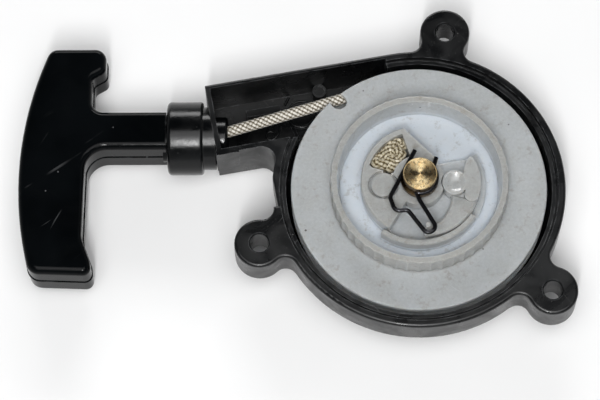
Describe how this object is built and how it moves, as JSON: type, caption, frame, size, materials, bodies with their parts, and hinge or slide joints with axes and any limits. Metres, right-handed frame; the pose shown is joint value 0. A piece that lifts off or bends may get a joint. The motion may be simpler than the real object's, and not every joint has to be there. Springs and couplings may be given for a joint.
{
  "type": "recoil starter",
  "caption": "Pull-rope recoil starter: round three-eared housing with rope box, nylon reel on a brass post, swinging pawl and offset T-grip.",
  "frame": {"origin": "centre of the bolt circle through the three ear holes, on the ears' mounting plane", "axes": "+Z normal to the mounting plane, towards the engine; +X along the rope box, pointing away from the grip"},
  "size_m": [0.1612, 0.1095, 0.0323],
  "materials": {
    "housing_plastic": "satin moulded black nylon",
    "grip_plastic": "glossy black",
    "reel_nylon": "natural nylon, satin",
    "pawl_nylon": "natural nylon, glossy",
    "brass": "turned",
    "steel": "zinc plated",
    "spring_steel": "blued strip, oiled",
    "black_wire": "black oxide",
    "rope": "braided nylon",
    "guide_rubber": "satin black"
  },
  "bodies": {
    "housing_body": {"housing": "housing_plastic", "centre_post": "brass", "post_screw": "steel", "post_washer": "steel", "recoil_spring": "spring_steel", "spring_cover": "steel", "rope_guide": "guide_rubber", "rope_run": "rope"},
    "reel_body": {"reel": "reel_nylon", "rope_coil": "rope", "rope_knot": "rope"},
    "pawl_body": {"pawl": "pawl_nylon"},
    "friction_spring_body": {"friction_spring": "black_wire"},
    "grip_body": {"grip": "grip_plastic", "grip_washer": "steel", "grip_knot": "rope", "grip_cap": "grip_plastic", "rope_lead": "rope"}
  },
  "joints": [
    {"name": "handle_pull", "type": "slide", "parent": "housing_body", "child": "grip_body", "axis": [-0.9842, 0.1771, 0], "range_m": [0, 0.7], "stiffness_N_per_m": 25, "springref_m": -0.4, "deforming": ["rope_lead", "rope_coil", "recoil_spring"]},
    {"name": "reel_spin", "type": "hinge", "parent": "housing_body", "child": "reel_body", "pos_m": [0, 0, 0], "axis": [0, 0, 1], "range_deg": [0, 1400]},
    {"name": "pawl_swing", "type": "hinge", "parent": "reel_body", "child": "pawl_body", "pos_m": [0.0101, -0.0023, 0.003], "axis": [0, 0, 1], "range_deg": [-28.1, 0]},
    {"name": "friction_spring_lag", "type": "hinge", "parent": "reel_body", "child": "friction_spring_body", "pos_m": [0, 0, 0.0081], "axis": [0, 0, 1], "range_deg": [-10.2, 0]}
  ],
  "couplings": [
    {"joint": "reel_spin", "follows": "handle_pull", "rad_per_m": 33.898},
    {"joint": "pawl_swing", "follows": "friction_spring_lag", "ratio": 2.745}
  ]
}
